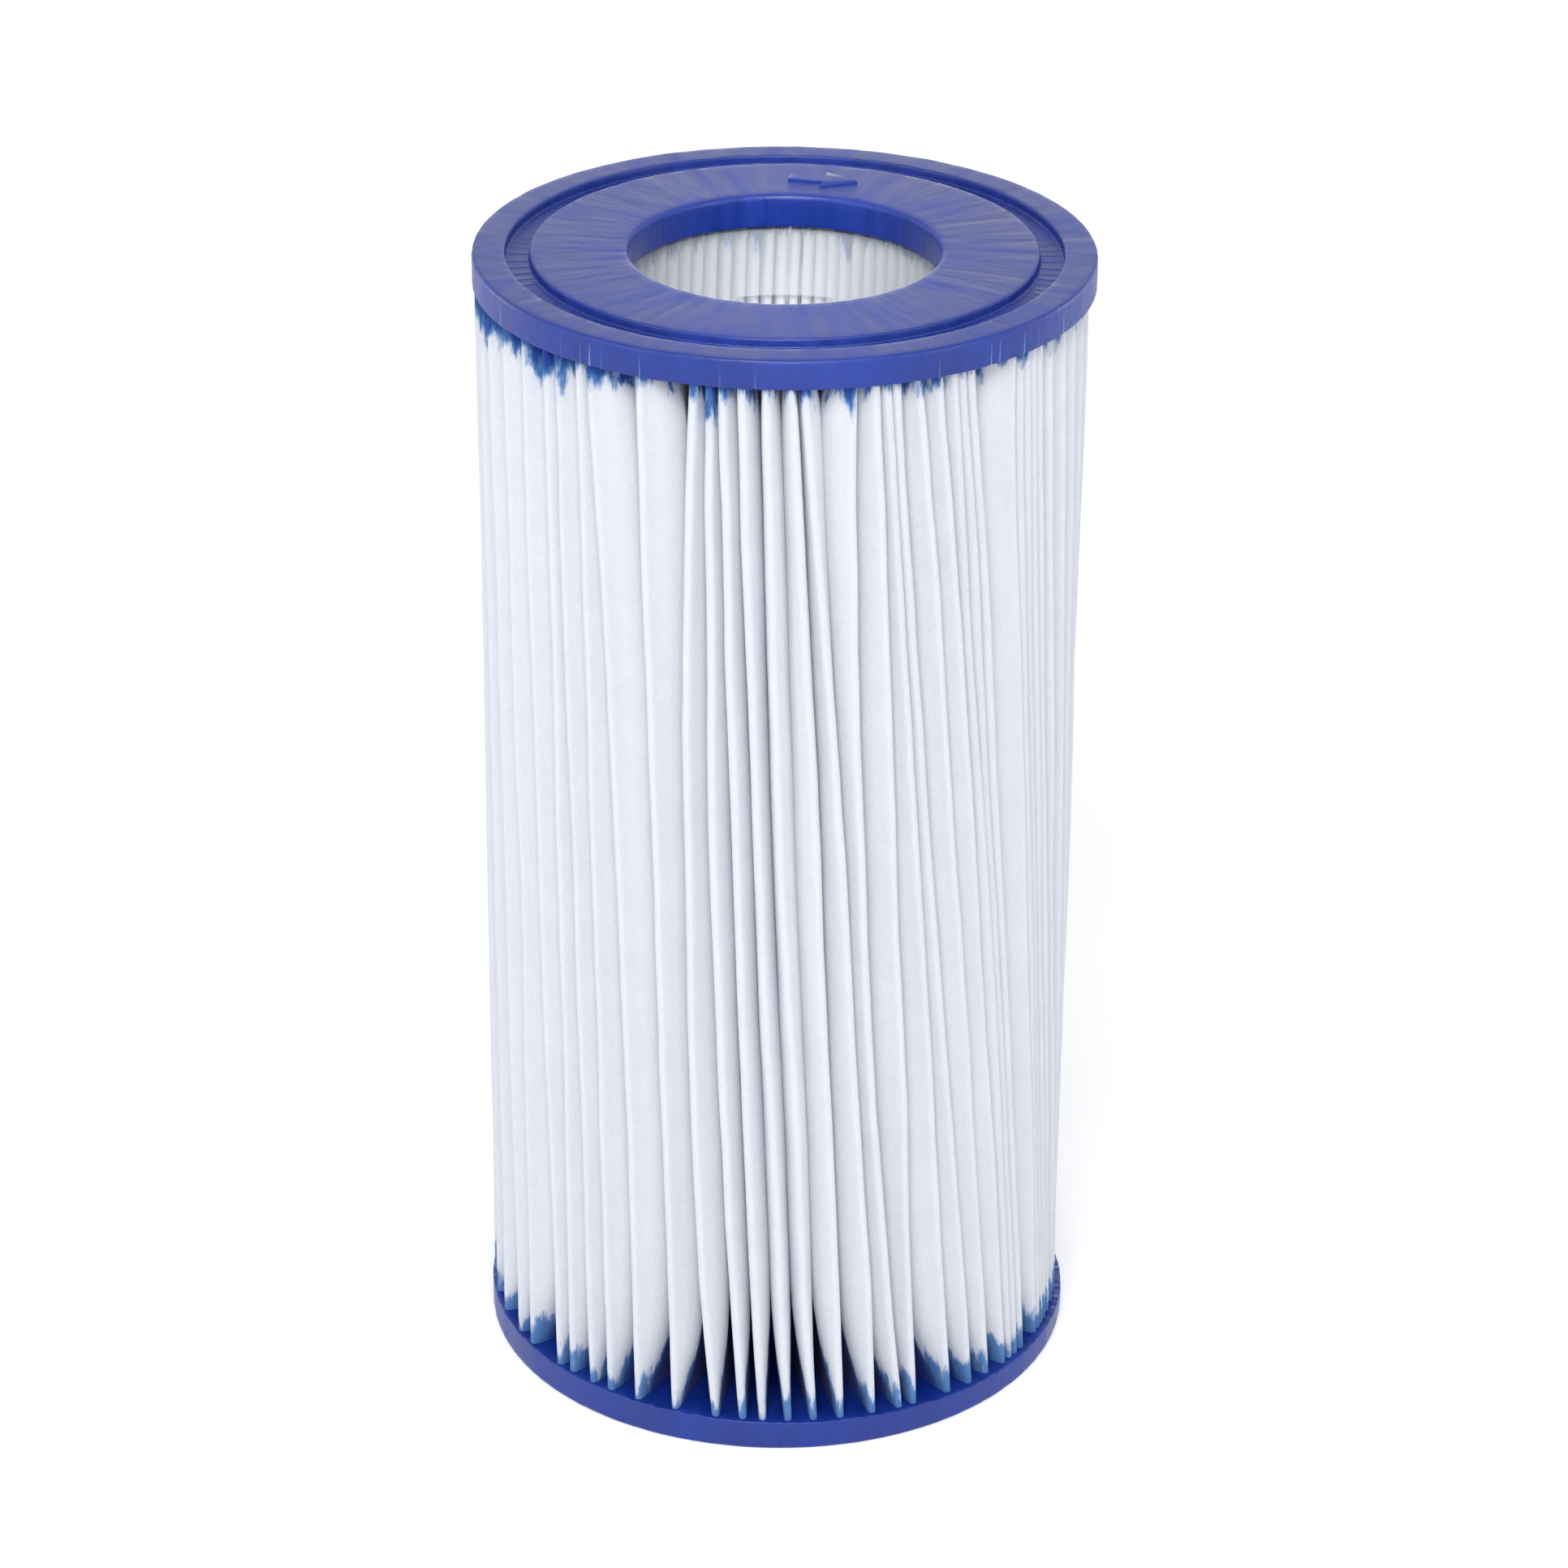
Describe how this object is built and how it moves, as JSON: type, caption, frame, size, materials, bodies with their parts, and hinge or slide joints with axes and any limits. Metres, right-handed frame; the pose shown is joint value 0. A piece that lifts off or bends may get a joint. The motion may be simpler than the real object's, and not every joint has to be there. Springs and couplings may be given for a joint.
{
  "type": "filter cartridge",
  "caption": "Round pleated filter cartridge: a ring of folded felt round a windowed plastic core, cast into a soft ring cap with a central port at each end.",
  "frame": {"origin": "centre of the bottom end cap's face", "axes": "+Z along the cartridge's axis, towards the end cap with the raised arrow; +Y towards the glued seam"},
  "size_m": [0.104, 0.104, 0.2035],
  "materials": {
    "cap_resin": "cast flexible resin, satin",
    "core_plastic": "moulded translucent polypropylene",
    "filter_felt": "spunbonded polyester felt, heat set in folds",
    "seam_adhesive": "hot melt adhesive"
  },
  "bodies": {
    "root": {"bottom_end_cap": "cap_resin", "top_end_cap": "cap_resin", "centre_core": "core_plastic", "pleated_media": "filter_felt", "seam_bond": "seam_adhesive"}
  },
  "joints": []
}
